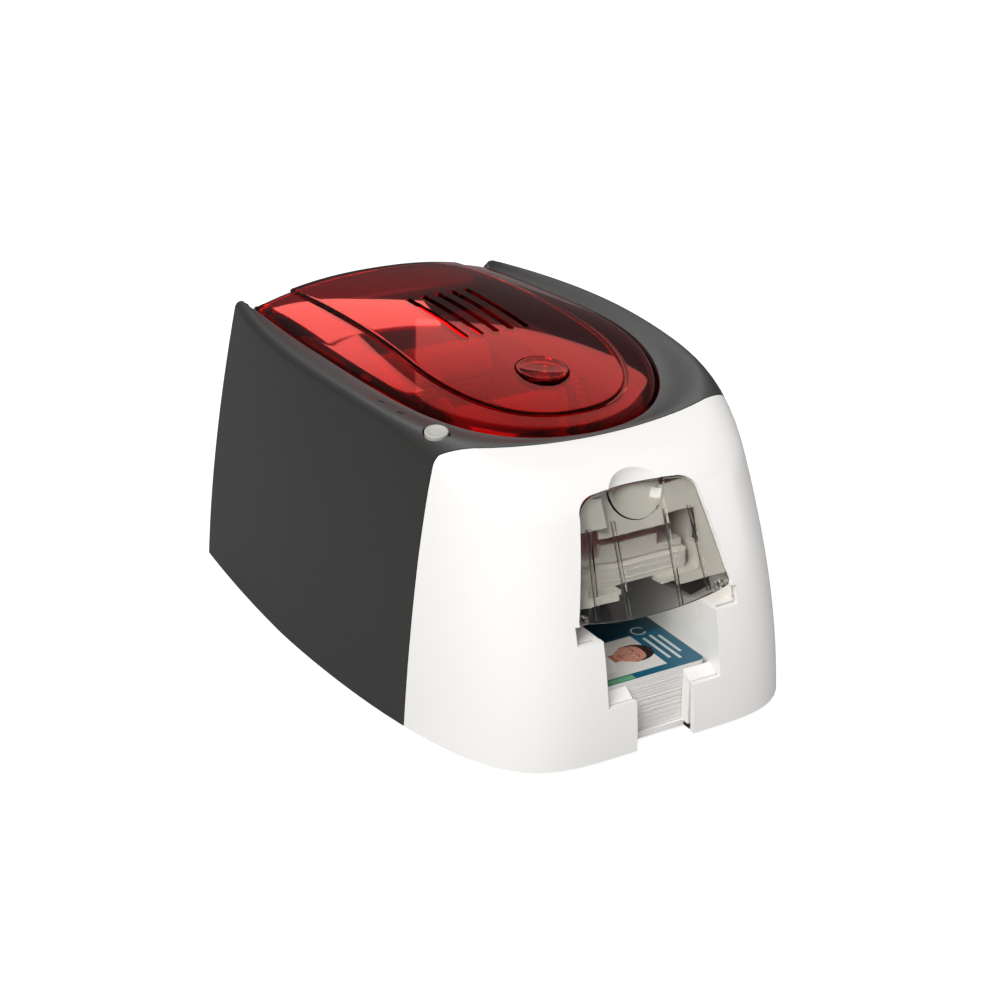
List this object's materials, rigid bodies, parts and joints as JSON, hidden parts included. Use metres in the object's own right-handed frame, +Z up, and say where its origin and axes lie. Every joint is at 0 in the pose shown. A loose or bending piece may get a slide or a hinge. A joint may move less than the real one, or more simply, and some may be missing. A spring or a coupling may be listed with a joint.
{
  "type": "id card printer",
  "caption": "Desktop card printer with a hinged clear lid, drop-down feed door, inner ribbon and roller drive, and a front output pocket holding printed cards.",
  "frame": {"origin": "centre of the bounding box at the plane the feet stand on", "axes": "+Z up, +Y from the output pocket at the front to the rear sockets, +X to the right seen from the front"},
  "size_m": [0.2046, 0.2804, 0.1467],
  "materials": {
    "dark_plastic": "fine matt grain",
    "white_plastic": "satin white",
    "red_clear": "clear tinted gloss",
    "smoked_clear": "smoked clear gloss",
    "grey_plastic": "light grey satin",
    "inner_plastic": "matt black",
    "steel": "bright zinc plate",
    "rubber": "matt rubber",
    "gear_plastic": "natural acetal",
    "brass": "turned brass",
    "cards": "gloss card",
    "printed": "printed gloss card",
    "board": "circuit board with solder mask",
    "film": "thin dyed film",
    "lens": "frosted light pipe",
    "cleaning": "tacky silicone",
    "black_metal": "black paint",
    "aluminium": "milled"
  },
  "bodies": {
    "base": {"base_chassis": "dark_plastic", "rear_shell": "dark_plastic", "front_casing": "white_plastic", "cover_hinge_pins": "steel", "inner_deck": "inner_plastic", "panel_board": "board", "status_lenses": "lens", "output_tray": "white_plastic", "hopper_panel": "grey_plastic", "card_hopper": "dark_plastic", "blank_cards": "cards", "side_plate_left": "steel", "side_plate_right": "steel", "tie_rods": "steel", "shaft_bushes": "brass", "drive_motor": "black_metal", "motor_bracket": "steel", "ribbon_film": "film", "cassette_frame": "inner_plastic", "ribbon_motor": "steel", "return_chute": "dark_plastic", "main_board": "board", "usb_socket": "steel", "power_jack": "inner_plastic", "rubber_feet": "rubber", "chassis_screws": "steel"},
    "cover": {"top_cover": "red_clear"},
    "cover_button": {"cover_button": "red_clear"},
    "feeder_door": {"feeder_door": "smoked_clear"},
    "power_button": {"power_button": "grey_plastic"},
    "card_weight": {"card_weight": "grey_plastic"},
    "feed_card": {"feed_card": "cards"},
    "card_stack": {"card_stack": "cards"},
    "printed_card": {"printed_card": "printed"},
    "pickup": {"pickup_roller": "rubber", "pickup_shaft": "steel", "pickup_gear": "gear_plastic"},
    "feed": {"feed_roller": "rubber", "feed_shaft": "steel", "feed_gear": "gear_plastic"},
    "platen": {"platen_roller": "rubber", "platen_shaft": "steel", "platen_gear": "gear_plastic"},
    "exit": {"exit_roller": "rubber", "exit_shaft": "steel", "exit_gear": "gear_plastic"},
    "large_idler": {"large_idler": "gear_plastic"},
    "front_idler": {"front_idler": "gear_plastic"},
    "rear_idler": {"rear_idler": "gear_plastic"},
    "pinch_front": {"pinch_roller_front": "grey_plastic"},
    "pinch_rear": {"pinch_roller_rear": "grey_plastic"},
    "cleaning": {"cleaning_roller": "cleaning"},
    "motor_rotor": {"motor_pinion": "brass"},
    "supply": {"supply_spool": "film"},
    "takeup": {"takeup_spool": "film"},
    "ribbon_rotor": {"ribbon_pinion": "brass"},
    "head": {"head_arm": "steel", "thermal_head": "aluminium"},
    "flap": {"path_flap": "dark_plastic"}
  },
  "joints": [
    {"name": "cover_hinge", "type": "hinge", "parent": "base", "child": "cover", "pos_m": [0, 0.1328, 0.1274], "axis": [-1, 0, 0], "range_deg": [0, 75]},
    {"name": "cover_button_press", "type": "slide", "parent": "cover", "child": "cover_button", "axis": [0, 0.1184, -0.993], "range_m": [0, 0.0015], "stiffness_N_per_m": 400},
    {"name": "door_hinge", "type": "hinge", "parent": "base", "child": "feeder_door", "pos_m": [0, -0.12587, 0.0625], "axis": [1, 0, 0], "range_deg": [0, 95]},
    {"name": "power_button_press", "type": "slide", "parent": "base", "child": "power_button", "axis": [0.0856, 0.1908, -0.9779], "range_m": [0, 0.0004], "stiffness_N_per_m": 500},
    {"name": "card_weight_lift", "type": "slide", "parent": "base", "child": "card_weight", "axis": [0, 0, 1], "range_m": [0, 0.0095]},
    {"name": "feed_card_travel", "type": "slide", "parent": "base", "child": "feed_card", "axis": [0, 1, 0], "range_m": [0, 0.148]},
    {"name": "card_stack_lift", "type": "slide", "parent": "base", "child": "card_stack", "axis": [0, 0, 1], "range_m": [0, 0.01]},
    {"name": "printed_card_pull", "type": "slide", "parent": "card_stack", "child": "printed_card", "axis": [0, -1, 0], "range_m": [0, 0.06]},
    {"name": "feed_spin", "type": "hinge", "parent": "base", "child": "feed", "pos_m": [0, 0.008, 0.06195], "axis": [1, 0, 0], "continuous": true},
    {"name": "pickup_spin", "type": "hinge", "parent": "base", "child": "pickup", "pos_m": [0, -0.052, 0.06195], "axis": [1, 0, 0], "continuous": true},
    {"name": "platen_spin", "type": "hinge", "parent": "base", "child": "platen", "pos_m": [0, 0.038, 0.06195], "axis": [1, 0, 0], "continuous": true},
    {"name": "exit_spin", "type": "hinge", "parent": "base", "child": "exit", "pos_m": [0, 0.068, 0.06195], "axis": [1, 0, 0], "continuous": true},
    {"name": "large_idler_spin", "type": "hinge", "parent": "base", "child": "large_idler", "pos_m": [0, -0.022, 0.06195], "axis": [1, 0, 0], "continuous": true},
    {"name": "front_idler_spin", "type": "hinge", "parent": "base", "child": "front_idler", "pos_m": [0, 0.023, 0.06195], "axis": [1, 0, 0], "continuous": true},
    {"name": "rear_idler_spin", "type": "hinge", "parent": "base", "child": "rear_idler", "pos_m": [0, 0.053, 0.06195], "axis": [1, 0, 0], "continuous": true},
    {"name": "drive_motor_spin", "type": "hinge", "parent": "base", "child": "motor_rotor", "pos_m": [0, 0.07862, 0.05133], "axis": [1, 0, 0], "continuous": true},
    {"name": "pinch_front_spin", "type": "hinge", "parent": "base", "child": "pinch_front", "pos_m": [0, 0.008, 0.07386], "axis": [1, 0, 0], "continuous": true},
    {"name": "pinch_rear_spin", "type": "hinge", "parent": "base", "child": "pinch_rear", "pos_m": [0, 0.068, 0.07386], "axis": [1, 0, 0], "continuous": true},
    {"name": "cleaning_spin", "type": "hinge", "parent": "base", "child": "cleaning", "pos_m": [0, -0.009, 0.07586], "axis": [1, 0, 0], "continuous": true},
    {"name": "takeup_spin", "type": "hinge", "parent": "base", "child": "takeup", "pos_m": [0, 0.002, 0.104], "axis": [1, 0, 0], "continuous": true},
    {"name": "supply_spin", "type": "hinge", "parent": "base", "child": "supply", "pos_m": [0, 0.074, 0.104], "axis": [1, 0, 0], "continuous": true},
    {"name": "ribbon_motor_spin", "type": "hinge", "parent": "base", "child": "ribbon_rotor", "pos_m": [0, 0.002, 0.08695], "axis": [1, 0, 0], "continuous": true},
    {"name": "head_lift", "type": "hinge", "parent": "base", "child": "head", "pos_m": [0, 0.098, 0.088], "axis": [-1, 0, 0], "range_deg": [0, 8]},
    {"name": "flap_tip", "type": "hinge", "parent": "base", "child": "flap", "pos_m": [0, 0.09, 0.064], "axis": [-1, 0, 0], "range_deg": [0, 15]}
  ],
  "couplings": [
    {"joint": "pickup_spin", "follows": "feed_spin", "ratio": 1},
    {"joint": "platen_spin", "follows": "feed_spin", "ratio": 1},
    {"joint": "exit_spin", "follows": "feed_spin", "ratio": 1},
    {"joint": "large_idler_spin", "follows": "feed_spin", "ratio": -0.5},
    {"joint": "front_idler_spin", "follows": "feed_spin", "ratio": -2},
    {"joint": "rear_idler_spin", "follows": "feed_spin", "ratio": -2},
    {"joint": "drive_motor_spin", "follows": "feed_spin", "ratio": -2},
    {"joint": "supply_spin", "follows": "takeup_spin", "ratio": 0.66667},
    {"joint": "ribbon_motor_spin", "follows": "takeup_spin", "ratio": -2.4}
  ]
}
